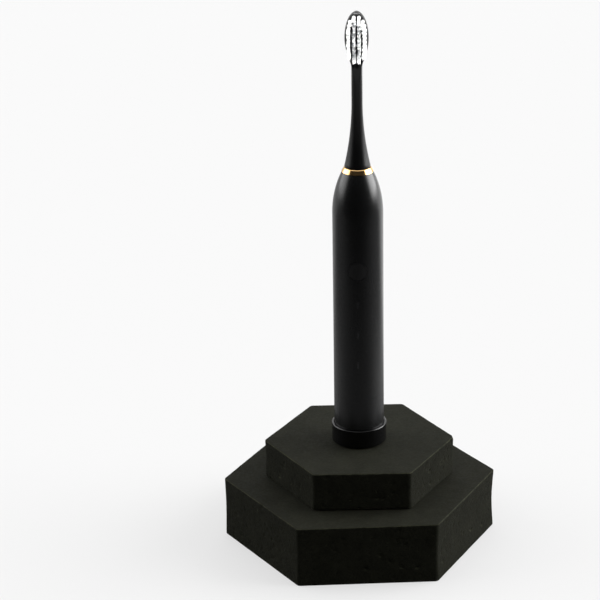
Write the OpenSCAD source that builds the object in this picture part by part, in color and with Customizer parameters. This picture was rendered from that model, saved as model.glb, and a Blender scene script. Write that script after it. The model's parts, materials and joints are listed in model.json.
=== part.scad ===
// Electric toothbrush standing in its round charging cup, on a two-tier hexagonal plinth.
// Millimetres, +Z up. The origin is the centre of the plinth's underside, and the bristles face -Y.

/* [Plinth] */
// Lower tier, corner to corner, before its corners are rounded
lower_across = 152; // [140:1:200]
// Height of the lower tier
lower_h = 34.5; // [15:0.5:60]
// Turn of the lower tier about the upright axis, in degrees
lower_turn = 5; // [0:1:30]
// Upper tier, corner to corner, before its corners are rounded
upper_across = 106; // [60:1:130]
// Height of the upper tier
upper_h = 21.6; // [10:0.1:40]
// Turn of the upper tier about the upright axis, in degrees
upper_turn = 3; // [0:1:30]
// Rounding of the tiers' upright corners
tier_corner_r = 2.5; // [0.5:0.5:6]
// Thickness of the sheet that bonds the tiers
bond_t = 0.4; // [0.2:0.1:1]
// Distance from the upper tier's faces in to the bonding sheet
bond_inset = 2.5; // [1:0.5:8]

/* [Charging cup] */
// Wall of the cup
cup_wall = 1; // [0.8:0.1:2]
// Clearance around the handle in the cup
seat_gap = 0.35; // [0.2:0.05:1]
// Height of the rim above the floor that the handle stands on
rim_h = 4.8; // [3:0.1:8]
// Thickness of that floor
cup_floor_t = 1.1; // [0.8:0.1:2]
// Room under the floor for the board and the socket
chamber_h = 3.4; // [3.4:0.1:6]
// Thickness of the bottom cover
cover_t = 1; // [0.8:0.1:2]
// How far the foot ring stands below the cover
foot_lift = 0.3; // [0.2:0.1:1]
// Radius of the charging post
post_r = 3.9; // [3.5:0.1:5]
// Height of the charging post above the floor
post_h = 8.2; // [6:0.1:9]
// Wall of the charging post
post_wall = 0.8; // [0.6:0.1:1.2]
// Radius of the ferrite rod inside the post
core_r = 1.5; // [1:0.1:2]
// Thickness of the charger's board
charger_board_t = 0.8; // [0.6:0.1:1.2]

/* [Handle] */
// Radius of the handle
handle_r = 13.75; // [13:0.25:18]
// Wall of the handle's shell
shell_wall = 1.6; // [1.2:0.1:2]
// Height at which the shoulder starts to narrow
shoulder_z = 128; // [127:1:160]
// Radius of the shoulder's curve, seen from the side
shoulder_arc_r = 52.4; // [48:0.1:70]
// Length of the shoulder up to the accent ring
shoulder_len = 23; // [20:0.5:24]
// Height of the accent ring
ring_h = 2.6; // [2:0.1:4]
// How far the accent ring stands proud of the shoulder
ring_proud = 0.15; // [0:0.05:0.4]
// Radius of the button
button_r = 5.05; // [4:0.05:6]
// Height of the button's centre above the handle's foot
button_z = 98.5; // [95:0.5:98.5]
// Travel of the button
button_travel = 0.5; // [0.2:0.1:0.6]
// Height of the lowest mode window's centre
window_z = 44; // [40:1:46]
// Distance from one mode window to the next
window_pitch = 17.7; // [14:0.1:18]
// Width of a mode window
window_w = 1; // [0.6:0.1:2]
// Height of a mode window
window_h = 4; // [3:0.1:6]

/* [Inside the handle] */
// Clearance between the chassis and the shell
chassis_gap = 0.2; // [0.1:0.05:0.4]
// Wall of the chassis
chassis_wall = 1; // [0.8:0.1:1.5]
// Radius of the battery cell
cell_r = 7; // [6:0.1:7.3]
// Length of the battery cell
cell_len = 50; // [40:1:50]
// Thickness of the main board
board_t = 1; // [0.8:0.1:1.6]
// Width of the main board
board_w = 19; // [17:0.5:19]
// Radius of the motor's case
motor_r = 9; // [8.8:0.1:9.2]
// Length of the motor's case
motor_len = 31; // [30:0.5:32]
// Radius of the drive shaft
shaft_r = 1.5; // [1.2:0.05:1.8]
// Radial running clearance of the shaft in its bushes and in the seal
shaft_gap = 0.03; // [0.02:0.01:0.05]

/* [Brush head] */
// Length of the brush head, from its foot to its tip
head_len = 84.6; // [80:0.1:105]
// Radius of the neck at its thinnest
neck_r = 2.95; // [2.6:0.05:3.4]
// Gap between the head's foot and the accent ring
head_gap = 0.3; // [0.2:0.05:0.6]
// How far the shaft reaches into the head
shaft_reach = 18; // [12:0.5:19]
// Width of the bristle plate
plate_w = 12.8; // [11:0.1:15]
// Thickness of the bristle plate
plate_t = 4.8; // [4:0.1:6]
// Radius of one tuft of bristles
tuft_r = 0.95; // [0.7:0.05:1]
// Length of the outer tufts in front of the plate
outer_tuft_len = 8.8; // [8:0.1:12]
// Length of the inner tufts in front of the plate
inner_tuft_len = 7.8; // [7:0.1:11]

/* [Hidden] */
$fn = 64;
eps = 0.01;
slip = 0.1; // radial play of pieces that only drop into one another
touch = 0.02; // play of pieces that are glued or pressed together

// Plinth
plinth_h = lower_h + bond_t + upper_h;
corner_steps = 6;

// Charging cup, measured from the plinth's top
cup_r = handle_r + seat_gap + cup_wall;
well_r = cup_r - cup_wall;
cover_z = foot_lift;
chamber_z = cover_z + cover_t;
cup_floor_z = chamber_z + chamber_h;
seat_z = cup_floor_z + cup_floor_t;
cup_h = seat_z + rim_h;
cup_edge_r = 0.8;
cup_rim_r = 0.3;
cup_screw_angles = [30, 150, 270];
cup_screw_at = well_r - 3.3;
cup_boss_r = 2.6;
cup_boss_tip_r = 1.6;
foot_in_r = 5;
foot_out_r = cup_screw_at - 2.2;
foot_t = 0.8;
usb_w = 8.94;
usb_t = 3.16;
usb_len = 7;
usb_wall = 0.3;
usb_gap = 0.12;
usb_z = chamber_z + chamber_h / 2;
usb_mouth_y = well_r - 0.1;
charger_board_z = usb_z - charger_board_t / 2 - 0.3;
core_base_r = 3;
core_base_t = 0.8;
core_z = charger_board_z + charger_board_t;
core_top_z = seat_z + post_h - post_wall - 0.3;
screw_r = 0.75;
screw_head_r = 1.3;

// Handle, measured from its foot
brush_z = plinth_h + seat_z;
bore_r = handle_r - shell_wall;
arc_x = handle_r - shoulder_arc_r;
shell_h = shoulder_z + shoulder_len;
deck_t = 3;
deck_z = shell_h - deck_t;
ring_z = shell_h;
ring_top_z = ring_z + ring_h;
spigot_r = shoulder_r(ring_top_z) - 0.75;
spigot_h = ring_h - 0.2;
gland_r = spigot_r - 1.35;
foot_edge_r = 0.8;

// Bottom cap and charging coil
recess_gap = 0.4;
recess_r = post_r + recess_gap;
recess_top = post_h + 2.2;
sleeve_wall = 0.9;
sleeve_r = recess_r + sleeve_wall;
cap_z = 0.4;
cap_plate_t = 1.6;
cap_skirt_top = 8;
cap_r = bore_r - slip;
cap_skirt_t = 2.2;
bead_z = 3;
bead_out = 0.25;
seal_z = 5.7;
seal_cord_r = 0.75;
bobbin_z = cap_z + cap_plate_t + slip;
bobbin_h = 7.4;
bobbin_r = bore_r - 3.15;
bobbin_wall = 0.6;
bobbin_flange_t = 0.7;

// Chassis with the battery, the board and the motor
boss_r = button_r + 1.4;
chassis_r = bore_r - chassis_gap;
chassis_z = recess_top + sleeve_wall + slip;
floor_t = 1.5;
pad_t = 1.2;
tab_t = 0.2;
cell_y = chassis_r - chassis_wall - cell_r - 0.35;
cell_z = chassis_z + floor_t + pad_t + tab_t;
cell_top = cell_z + cell_len;
mid_floor_z = cell_top + tab_t + pad_t;
board_back_y = cell_y - cell_r - 0.6;
board_y = board_back_y - board_t;
board_z = chassis_z + floor_t + 7;
motor_floor_z = button_z + boss_r + 0.3;
board_top = motor_floor_z - 1.5;
motor_z = motor_floor_z + floor_t;
motor_top = motor_z + motor_len;
motor_wall = 0.6;
damper_t = 1;
crown_z = motor_top + damper_t;
crown_t = 1.2;
half_shell_top = motor_z + 19.5;
cradle_r = motor_r + slip + chassis_wall;
rail_in = 7.2;
board_screw_x = 8;
board_screw_zs = [board_z + 6, board_top - 16];
lead_x = 4.6;
lead_y = board_y - 1.5;
lead_r = 0.45;
coil_lead_x = 3;
coil_lead_y = -(sleeve_r + 2);

// Button and switch, measured forward from the handle's axis
button_face = handle_r - 0.12;
button_gap = 0.15;
button_back = bore_r - 0.55;
boss_face = sqrt(pow(bore_r, 2) - pow(boss_r, 2)) - 0.2;
button_seal_t = 0.8;
stem_r = 2.2;
switch_size = 6;
switch_t = 3.3;
plunger_r = 1.6;
plunger_len = 1;
switch_face = -board_y + switch_t;
plunger_face = switch_face + plunger_len;
window_zs = [for (i = [0:2]) window_z + i * window_pitch];
guide_back = -board_y + 1.6;
guide_t = 1.4;

// Motor
bush_r = 3;
bush_len = 3;
plate_of_motor_t = 1.5;
clip_t = 0.5;
clip_r = 2.9;
clip_neck_r = 1.1;
clip_z = motor_z - 0.8;
shaft_tail_z = clip_z - 0.5;
yoke_r = 3.4;
stack_z = motor_z + 7;
stack_len = 16;
magnet_r = 5;
air_gap = 0.3;
shoe_t = 0.7;
shoe_half_angle = 30;
pole_w = 3.6;
winding_t = 2;
winding_x = magnet_r + air_gap + shoe_t + 0.1;
winding_depth = 1.25;

// Seal at the top of the handle
collar_r = gland_r + 1.3;
gland_flange_t = 1.8;
clamp_t = 1;
clamp_z = deck_z - gland_flange_t - clamp_t;
shaft_flat = shaft_r - 0.5;

// Brush head, measured from the handle's foot as well
head_z = ring_top_z + head_gap;
head_top = head_z + head_len;
head_foot_r = shoulder_r(ring_top_z) + ring_proud - 0.1;
neck_len = 36;
neck_rise = head_foot_r - neck_r;
neck_arc_r = (neck_len * neck_len + neck_rise * neck_rise) / (2 * neck_rise);
neck_straight_z = head_z + neck_len;
plate_top_len = 14.4;
plate_low_len = 15.6;
plate_z = head_top - plate_top_len;
plate_front = plate_t / 2 + 0.2;
plate_top_curve = 2.05;
plate_low_curve = 1.75;
tuft_margin_top = 1.45;
tuft_margin_low = 1.25;
shaft_top = ring_top_z + shaft_reach;
socket_z = head_z + 2;
socket_top = shaft_top + 1.6;
socket_r = shaft_r + 1.2;
flat_z = socket_z + 1;
clip_leaf_z = socket_z + 5;
clip_leaf_len = 9;
leaf_t = 0.25;
tuft_hole_depth = 2.8;
tuft_gap = 0.05;
anchor_h = 1.2;
row_pitch = 2.2;
first_row = 2.6;
rows = 11;

// ---------- helpers ----------

// Radius of the shoulder's outside at height z on the handle
function shoulder_r(z) =
    z <= shoulder_z ? handle_r : arc_x + sqrt(pow(shoulder_arc_r, 2) - pow(z - shoulder_z, 2));

// Half width of the bristle plate at distance d below its top
function plate_half(d) =
    let (above = d < plate_top_len)
    let (t = above ? (plate_top_len - d) / plate_top_len : (d - plate_top_len) / plate_low_len)
    let (curve = above ? plate_top_curve : plate_low_curve)
    plate_w / 2 * pow(1 - pow(min(t, 1), curve), 1 / curve);

// Distance below the plate's top of a row of tufts, and the x of its outer tuft
function row_d(k) = first_row + k * row_pitch;
function tuft_margin(k) = row_d(k) < plate_top_len ? tuft_margin_top : tuft_margin_low;
function row_x(k) = min(plate_w / 2 - 2, plate_half(row_d(k)) - tuft_margin(k));

// Tufts as [x, z]: two alone in the first and last rows, and four in every row between
outer_tuft_at = concat(
    [for (s = [-1, 1], k = [0, rows - 1]) [s * 1.35, head_top - row_d(k)]],
    [for (s = [-1, 1], k = [1:rows - 2]) [s * row_x(k), head_top - row_d(k)]]
);
inner_tuft_at = [for (s = [-1, 1], k = [1:rows - 2]) [s * row_x(k) / 3, head_top - row_d(k)]];

// A hexagon with rounded corners, a corner on +X
module rounded_hexagon(across, corner_r) {
    centre = across / 2 - corner_r * 2 / sqrt(3);
    polygon([for (k = [0:5], i = [0:corner_steps])
        let (a = 60 * k, b = a - 30 + 60 * i / corner_steps)
        [centre * cos(a) + corner_r * cos(b), centre * sin(a) + corner_r * sin(b)]]);
}

module ring(outer, inner, z, h) {
    translate([0, 0, z]) difference() {
        cylinder(r = outer, h = h);
        translate([0, 0, -1]) cylinder(r = inner, h = h + 2);
    }
}

module disc(r, z, h) {
    translate([0, 0, z]) cylinder(r = r, h = h);
}

// A block centred on x, from y0 to y1 and from z0 to z1
module block(w, y0, y1, z0, z1, x = 0) {
    translate([x - w / 2, y0, z0]) cube([w, y1 - y0, z1 - z0]);
}

// Children are drawn flat, and their +Z then points to the front, out of the handle at height z
module front(z) {
    translate([0, 0, z]) rotate([90, 0, 0]) children();
}

module slot_2d(w, h) {
    square([w, h - w], center = true);
    for (s = [-1, 1]) translate([0, s * (h - w) / 2]) circle(d = w);
}

// A round wire through the points of a path
module wire(path, r) {
    for (i = [0:len(path) - 2]) {
        d = path[i + 1] - path[i];
        translate(path[i]) rotate([0, acos(d[2] / norm(d)), atan2(d[1], d[0])])
            cylinder(r = r, h = norm(d));
        if (i > 0) translate(path[i]) sphere(r = r + eps);
    }
}

module on_plinth() {
    translate([0, 0, plinth_h]) children();
}

module on_seat() {
    translate([0, 0, brush_z]) children();
}

// ---------- plinth ----------

module lower_tier() {
    color("#2a2b27") rotate([0, 0, lower_turn])
        linear_extrude(height = lower_h) rounded_hexagon(lower_across, tier_corner_r);
}

module upper_tier() {
    color("#2a2b27") translate([0, 0, lower_h + bond_t]) rotate([0, 0, upper_turn])
        linear_extrude(height = upper_h) rounded_hexagon(upper_across, tier_corner_r);
}

module tier_bond() {
    color("#111111") translate([0, 0, lower_h]) rotate([0, 0, upper_turn])
        linear_extrude(height = bond_t)
            rounded_hexagon(upper_across - bond_inset * 4 / sqrt(3), tier_corner_r);
}

// ---------- charging cup ----------

module cup_outline() {
    difference() {
        translate([0, cover_z]) square([cup_r, cup_h - cover_z]);
        difference() {
            translate([cup_r - cup_edge_r, cover_z - 1]) square([2, cup_edge_r + 1]);
            translate([cup_r - cup_edge_r, cover_z + cup_edge_r]) circle(r = cup_edge_r);
        }
        difference() {
            translate([cup_r - cup_rim_r, cup_h - cup_rim_r]) square(2);
            translate([cup_r - cup_rim_r, cup_h - cup_rim_r]) circle(r = cup_rim_r);
        }
    }
}

module at_cup_screws() {
    for (a = cup_screw_angles) rotate([0, 0, a]) translate([cup_screw_at, 0, 0]) children();
}

module usb_outline(grow) {
    w = usb_w + 2 * grow;
    t = usb_t + 2 * grow;
    rotate([0, 0, 90]) slot_2d(t, w);
}

// Children are drawn flat and extruded along +Z, which becomes the way into the socket from its mouth
module at_usb() {
    translate([0, usb_mouth_y, usb_z]) rotate([90, 0, 0]) children();
}

module charger_cup() {
    color("#0c0c0c") on_plinth() difference() {
        union() {
            rotate_extrude() difference() {
                cup_outline();
                translate([-1, seat_z]) square([well_r + 1, rim_h + 1]);
                translate([-1, cover_z - 1]) square([well_r + 1, cup_floor_z - cover_z + 1]);
            }
            disc(post_r, cup_floor_z, cup_floor_t + post_h);
            at_cup_screws() disc(cup_boss_r, core_z, cup_floor_z - core_z + eps);
            at_cup_screws() disc(cup_boss_tip_r, chamber_z, cup_floor_z - chamber_z + eps);
        }
        disc(post_r - post_wall, cup_floor_z - 1, cup_floor_t + post_h - post_wall + 1);
        at_cup_screws() disc(screw_r + touch, chamber_z - 1, cup_floor_z - chamber_z + 1.4);
        translate([0, cup_r + 1, usb_z]) rotate([90, 0, 0])
            linear_extrude(height = cup_wall + 2.5) usb_outline(usb_gap);
    }
}

module charger_cover() {
    color("#121212") on_plinth() difference() {
        disc(well_r - slip, cover_z, cover_t);
        ring(foot_out_r + slip, foot_in_r - slip, foot_t - cover_z - 1, cover_z + 1);
        at_cup_screws() disc(screw_r + 0.15, cover_z - 1, cover_t + 2);
        at_cup_screws() disc(screw_head_r + 0.15, cover_z - 1, 1.5);
    }
}

module charger_foot() {
    color("#1a1a1a") on_plinth() ring(foot_out_r, foot_in_r, 0, foot_t - cover_z);
}

module charger_screws() {
    color("#9a9a9a") on_plinth() at_cup_screws() difference() {
        union() {
            disc(screw_head_r, cover_z, 0.45);
            disc(screw_r, cover_z, 4.2);
        }
        translate([0, 0, cover_z]) cube([1.6, 0.35, 0.4], center = true);
    }
}

module charger_core() {
    color("#3a3a3c") on_plinth() {
        disc(core_base_r, core_z, core_base_t);
        disc(core_r, core_z, core_top_z - core_z);
    }
}

module charger_coil() {
    color("#b06a2c") on_plinth()
        ring(post_r - post_wall - slip, core_r + touch, core_z + core_base_t + touch,
             core_top_z - core_z - core_base_t - 0.4);
}

module charger_board() {
    color("#1d5b34") on_plinth() difference() {
        disc(well_r - 0.6, charger_board_z, charger_board_t);
        at_cup_screws() disc(cup_boss_tip_r + slip, charger_board_z - 1, charger_board_t + 2);
        block(usb_w + 0.2, usb_mouth_y - usb_len - 0.1, cup_r + 1, charger_board_z - 1, core_z + 1);
    }
}

module charger_chips() {
    color("#202022") on_plinth() {
        block(3, -7.6, -4.8, core_z, core_z + 0.9);
        block(1.6, -8, -7.2, core_z, core_z + 0.8, 4);
        block(1.6, -8, -7.2, core_z, core_z + 0.8, -4);
        block(3.2, -1.2, 1.4, core_z, core_z + 1.1, 8);
        block(2.4, -1.2, 0.2, core_z, core_z + 1, -8.4);
    }
}

module usb_shell() {
    color("#b9bcc0") on_plinth() at_usb() difference() {
        linear_extrude(height = usb_len) usb_outline(0);
        translate([0, 0, -1]) linear_extrude(height = usb_len - 0.5) usb_outline(-usb_wall);
    }
}

module usb_tongue() {
    color("#161616") on_plinth() at_usb() {
        translate([0, 0, usb_len - 2.3]) linear_extrude(height = 0.8) usb_outline(-usb_wall - touch);
        translate([-3.3, -0.35, 0.9]) cube([6.6, 0.7, usb_len - 2.4]);
    }
}

// ---------- handle shell and what shows on it ----------

module handle_outside() {
    square([handle_r, shoulder_z]);
    intersection() {
        translate([arc_x, shoulder_z]) circle(r = shoulder_arc_r, $fn = 256);
        translate([0, shoulder_z - eps]) square([handle_r, shoulder_len + eps]);
    }
}

module handle_inside() {
    translate([-1, -1]) square([bore_r + 1, shoulder_z + 1]);
    intersection() {
        translate([arc_x, shoulder_z]) circle(r = shoulder_arc_r - shell_wall, $fn = 256);
        translate([-1, shoulder_z - eps]) square([handle_r, deck_z - shoulder_z + eps]);
    }
}

module shell_profile() {
    difference() {
        union() {
            difference() {
                handle_outside();
                handle_inside();
            }
            translate([gland_r, deck_z]) square([spigot_r - gland_r, deck_t + spigot_h]);
        }
        translate([-1, deck_z - 1]) square([gland_r + 1, deck_t + spigot_h + 2]);
        translate([bore_r - 1, bead_z - 0.5]) square([1 + bead_out + slip, 1]);
        difference() {
            translate([handle_r - foot_edge_r, -1]) square([2, foot_edge_r + 1]);
            translate([handle_r - foot_edge_r, foot_edge_r]) circle(r = foot_edge_r);
        }
    }
}

module handle_shell() {
    color("#17181a") on_seat() difference() {
        union() {
            rotate_extrude() shell_profile();
            difference() {
                front(button_z) translate([0, 0, boss_face]) cylinder(r = boss_r, h = bore_r - boss_face + 0.3);
                difference() {
                    disc(handle_r + 1, button_z - boss_r - 1, 2 * boss_r + 2);
                    disc(bore_r + 0.2, button_z - boss_r - 2, 2 * boss_r + 4);
                }
            }
        }
        front(button_z) cylinder(r = button_r + button_gap, h = handle_r + 1);
        for (z = window_zs) front(z) linear_extrude(height = handle_r + 1) slot_2d(window_w, window_h);
    }
}

module accent_ring() {
    low = shoulder_r(ring_z) + ring_proud;
    high = shoulder_r(ring_top_z) + ring_proud;
    color("#c8973c") on_seat() rotate_extrude() polygon([
        [spigot_r + touch, ring_z], [low - 0.25, ring_z], [low, ring_z + 0.25],
        [high + 0.15, ring_top_z - 0.2], [high - 0.1, ring_top_z], [spigot_r + touch, ring_top_z]
    ]);
}

module mode_windows() {
    color("#26282b") on_seat() for (z = window_zs) intersection() {
        front(z) linear_extrude(height = handle_r + 1) slot_2d(window_w - 2 * touch, window_h - 2 * touch);
        ring(handle_r - 0.05, bore_r, z - window_h, 2 * window_h);
    }
}

module light_guide() {
    color("#dfe6ea") on_seat() {
        front(window_zs[1])
            translate([-1.2, -window_pitch - 3, guide_back]) cube([2.4, 2 * window_pitch + 6, guide_t]);
        for (z = window_zs) intersection() {
            front(z) translate([-0.9, -2.2, guide_back]) cube([1.8, 4.4, handle_r]);
            disc(bore_r - 0.08, z - 5, 10);
        }
    }
}

// ---------- button and switch ----------

module power_button() {
    color("#1b1c1e") on_seat() {
        intersection() {
            front(button_z) translate([0, 0, button_back]) cylinder(r = button_r, h = handle_r);
            disc(button_face, button_z - button_r - 1, 2 * button_r + 2);
        }
        front(button_z) translate([0, 0, plunger_face]) cylinder(r = stem_r, h = button_back - plunger_face + 0.2);
    }
}

module button_seal() {
    color("#2b2b2d") on_seat() front(button_z)
        ring(boss_r - 0.2, stem_r + 0.05, boss_face - button_seal_t, button_seal_t);
}

module switch_body() {
    color("#101010") on_seat() front(button_z) difference() {
        translate([-switch_size / 2, -switch_size / 2, -board_y]) cube([switch_size, switch_size, switch_t]);
        disc(plunger_r + 0.05, switch_face - 1.8, 3);
    }
}

module switch_plunger() {
    color("#d8d8d4") on_seat() front(button_z) disc(plunger_r, switch_face - 1, plunger_len + 1);
}

// ---------- bottom cap and charging coil ----------

module bottom_cap() {
    color("#141416") on_seat() rotate_extrude() difference() {
        union() {
            translate([0, cap_z]) square([cap_r, cap_plate_t]);
            translate([cap_r - cap_skirt_t, cap_z]) square([cap_skirt_t, cap_skirt_top - cap_z]);
            translate([0, cap_z]) square([sleeve_r, recess_top + sleeve_wall - cap_z]);
            translate([cap_r - 1, bead_z - 0.4]) square([1 + bead_out, 0.8]);
        }
        translate([-1, -1]) square([recess_r + 1, recess_top + 1]);
        translate([cap_r - 2 * seal_cord_r, seal_z - 1]) square([4, 2]);
    }
}

module cap_seal() {
    color("#303032") on_seat() translate([0, 0, seal_z])
        rotate_extrude() translate([bore_r - seal_cord_r - touch, 0]) circle(r = seal_cord_r);
}

module coil_bobbin() {
    color("#e8e4d8") on_seat() rotate_extrude() difference() {
        translate([sleeve_r + slip, bobbin_z]) square([bobbin_r - sleeve_r - slip, bobbin_h]);
        translate([sleeve_r + slip + bobbin_wall, bobbin_z + bobbin_flange_t])
            square([bobbin_r, bobbin_h - 2 * bobbin_flange_t]);
    }
}

module pickup_coil() {
    color("#b06a2c") on_seat()
        ring(bobbin_r - 0.4, sleeve_r + slip + bobbin_wall + touch, bobbin_z + bobbin_flange_t + touch,
             bobbin_h - 2 * bobbin_flange_t - 2 * touch);
}

module coil_leads() {
    color("#a33b2a") on_seat() for (s = [-1, 1]) wire([
        [s * coil_lead_x, coil_lead_y, bobbin_z + bobbin_h + touch],
        [s * coil_lead_x, coil_lead_y, board_z - 3],
        [s * coil_lead_x, board_y - lead_r - touch, board_z + 1],
        [s * coil_lead_x, board_y - lead_r - touch, board_z + 3]
    ], lead_r);
}

// ---------- chassis, battery and main board ----------

module chassis_back_half() {
    intersection() {
        ring(chassis_r, chassis_r - chassis_wall, chassis_z, half_shell_top - chassis_z);
        translate([-handle_r, 0, chassis_z]) cube([2 * handle_r, handle_r, half_shell_top - chassis_z]);
    }
}

module motor_cradle() {
    intersection() {
        ring(cradle_r, cradle_r - chassis_wall, motor_floor_z, crown_z + crown_t - motor_floor_z);
        translate([-handle_r, -2, motor_floor_z]) cube([2 * handle_r, handle_r + 2, crown_z + crown_t]);
    }
    ring(cradle_r, 3.6, crown_z, crown_t);
    ring(collar_r, collar_r - 1, crown_z, clamp_z - crown_z);
    intersection() {
        ring(chassis_r, cradle_r - 0.5, half_shell_top - floor_t, floor_t);
        translate([-handle_r, 0, 0]) cube([2 * handle_r, handle_r, half_shell_top]);
    }
}

module chassis() {
    color("#e9e9e4") on_seat() difference() {
        union() {
            chassis_back_half();
            disc(chassis_r, chassis_z, floor_t);
            difference() {
                disc(chassis_r, mid_floor_z, floor_t);
                block(40, -20, board_back_y + 0.1, mid_floor_z - 1, mid_floor_z + floor_t + 1);
            }
            disc(chassis_r, motor_floor_z, floor_t);
            for (s = [-1, 1]) intersection() {
                block(chassis_r - rail_in, board_back_y, 0.5, chassis_z, motor_floor_z + 0.5,
                      s * (chassis_r + rail_in) / 2);
                disc(chassis_r, chassis_z, motor_floor_z);
            }
            motor_cradle();
        }
        disc(clip_r + 0.5, motor_floor_z - 1, floor_t + 2);
        for (s = [-1, 1]) {
            translate([s * lead_x, lead_y, motor_floor_z - 1]) cylinder(r = lead_r + 0.25, h = floor_t + 2);
            translate([s * coil_lead_x, coil_lead_y, chassis_z - 1]) cylinder(r = lead_r + 0.25, h = floor_t + 2);
            for (z = board_screw_zs) translate([s * board_screw_x, board_back_y + 3.4, z])
                rotate([90, 0, 0]) cylinder(r = screw_r + touch, h = 6);
        }
    }
}

module battery_cell() {
    color("#2f6fb0") on_seat() translate([0, cell_y, 0]) {
        disc(cell_r, cell_z, cell_len - 0.8);
        disc(cell_r * 0.45, cell_z, cell_len);
    }
}

module battery_tabs() {
    back = board_back_y + 0.03;
    color("#c4c6c8") on_seat() {
        block(5, back, cell_y + 3, cell_z - tab_t, cell_z - touch);
        block(5, back, back + 0.15, cell_z - tab_t, cell_z + 8);
        block(5, back, cell_y + 3, cell_top + touch, cell_top + tab_t);
        block(5, back, back + 0.15, cell_top - 8, cell_top + tab_t);
    }
}

module battery_pads() {
    color("#3a3a3a") on_seat() for (z = [chassis_z + floor_t, cell_top + tab_t])
        translate([0, cell_y, 0]) disc(cell_r - 0.6, z + touch, pad_t - 2 * touch);
}

module main_board() {
    color("#1d5b34") on_seat() difference() {
        block(board_w, board_y, board_back_y, board_z, board_top);
        for (s = [-1, 1], z = board_screw_zs) translate([s * board_screw_x, board_back_y + 1, z])
            rotate([90, 0, 0]) cylinder(r = screw_r + 0.1, h = board_t + 2);
    }
}

module chip(w, h, t, x, z) {
    block(w, board_y - t, board_y, z - h / 2, z + h / 2, x);
}

module board_chips() {
    color("#202022") on_seat() {
        chip(5, 5, 0.9, 4.2, window_z + window_pitch / 2);
        chip(3, 3, 0.9, -4.6, window_z + window_pitch / 2 + 2);
        chip(4, 4, 1.6, -4.8, window_z + window_pitch * 1.5);
        chip(3, 2.6, 1.2, 4.6, window_z + window_pitch * 1.5 + 2);
        chip(1.6, 0.9, 0.6, 4.6, window_z + window_pitch * 1.5 - 3);
        chip(1.6, 0.9, 0.6, -4.6, window_z + window_pitch / 2 - 3);
        chip(2.6, 1.6, 1.1, 5.4, board_z + 12);
        chip(2.6, 1.6, 1.1, -5.4, board_z + 12);
    }
}

module mode_lights() {
    color("#f4f2dc") on_seat() for (z = window_zs) chip(1.6, 1, 0.7, 0, z);
}

module board_screws() {
    color("#9a9a9a") on_seat() for (s = [-1, 1], z = board_screw_zs)
        translate([s * board_screw_x, board_y, z]) rotate([90, 0, 0]) difference() {
            union() {
                cylinder(r = screw_head_r, h = 0.9);
                translate([0, 0, -board_t - 3]) cylinder(r = screw_r, h = board_t + 3);
            }
            translate([0, 0, 0.9]) cube([1.6, 0.35, 0.7], center = true);
        }
}

module motor_leads() {
    color("#a33b2a") on_seat() for (s = [-1, 1]) wire([
        [s * lead_x, lead_y, motor_z - touch],
        [s * lead_x, lead_y, motor_floor_z - 0.6],
        [s * lead_x, board_y - lead_r - touch, board_top - 1.5],
        [s * lead_x, board_y - lead_r - touch, board_top - 3]
    ], lead_r);
}

// ---------- motor ----------

module motor_case() {
    color("#8f9296") on_seat() difference() {
        disc(motor_r, motor_z + plate_of_motor_t, motor_len - plate_of_motor_t);
        disc(motor_r - motor_wall, motor_z, motor_len - 1.2);
        disc(bush_r + touch, motor_z, motor_len + 1);
    }
}

module motor_end_plate() {
    color("#8f9296") on_seat() ring(motor_r, bush_r + touch, motor_z, plate_of_motor_t);
}

module bush(z) {
    color("#a9803a") on_seat() ring(bush_r, shaft_r + shaft_gap, z, bush_len);
}

module rear_bush() {
    bush(motor_z + 0.05);
}

module front_bush() {
    bush(motor_top - bush_len);
}

module arc_block(inner, outer, half_angle, z, h) {
    translate([0, 0, z]) rotate([0, 0, -half_angle])
        rotate_extrude(angle = 2 * half_angle) translate([inner, 0]) square([outer - inner, h]);
}

module at_poles() {
    for (a = [0, 180]) rotate([0, 0, a]) children();
}

module stator_poles() {
    inner = magnet_r + air_gap;
    color("#6d7075") on_seat() at_poles() {
        arc_block(inner, inner + shoe_t, shoe_half_angle, stack_z, stack_len);
        intersection() {
            translate([inner + shoe_t / 2, -pole_w / 2, stack_z]) cube([motor_r, pole_w, stack_len]);
            disc(motor_r - motor_wall - touch, stack_z, stack_len);
        }
    }
}

module stator_coils() {
    color("#b06a2c") on_seat() at_poles() translate([winding_x, 0, 0]) difference() {
        translate([0, -pole_w / 2 - winding_t, stack_z - winding_t])
            cube([winding_depth, pole_w + 2 * winding_t, stack_len + 2 * winding_t]);
        translate([-1, -pole_w / 2 - 0.05, stack_z - 0.05])
            cube([winding_depth + 2, pole_w + 0.1, stack_len + 0.1]);
    }
}

module motor_damper() {
    color("#232325") on_seat() ring(motor_r - 0.5, 4, motor_top + touch, damper_t - 2 * touch);
}

// ---------- what turns with the shaft ----------

module drive_shaft() {
    color("#c9ccd0") on_seat() difference() {
        disc(shaft_r, shaft_tail_z, shaft_top - shaft_tail_z);
        ring(shaft_r + 1, clip_neck_r, clip_z, clip_t);
        block(4 * shaft_r, shaft_flat, 2 * shaft_r, flat_z, shaft_top + 1);
    }
}

module shaft_clip() {
    color("#8a8c90") on_seat() difference() {
        ring(clip_r, clip_neck_r + touch, clip_z + touch, clip_t - 2 * touch);
        block(1.8, 0, clip_r + 1, clip_z - 1, clip_z + clip_t + 1);
    }
}

module rotor_yoke() {
    color("#55585c") on_seat() ring(yoke_r, shaft_r, stack_z, stack_len);
}

module rotor_magnets() {
    color("#3c3f44") on_seat() for (a = [45:90:315]) rotate([0, 0, a])
        arc_block(yoke_r + touch, magnet_r, 38, stack_z + 0.5, stack_len - 1);
}

// ---------- seal round the shaft ----------

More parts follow.
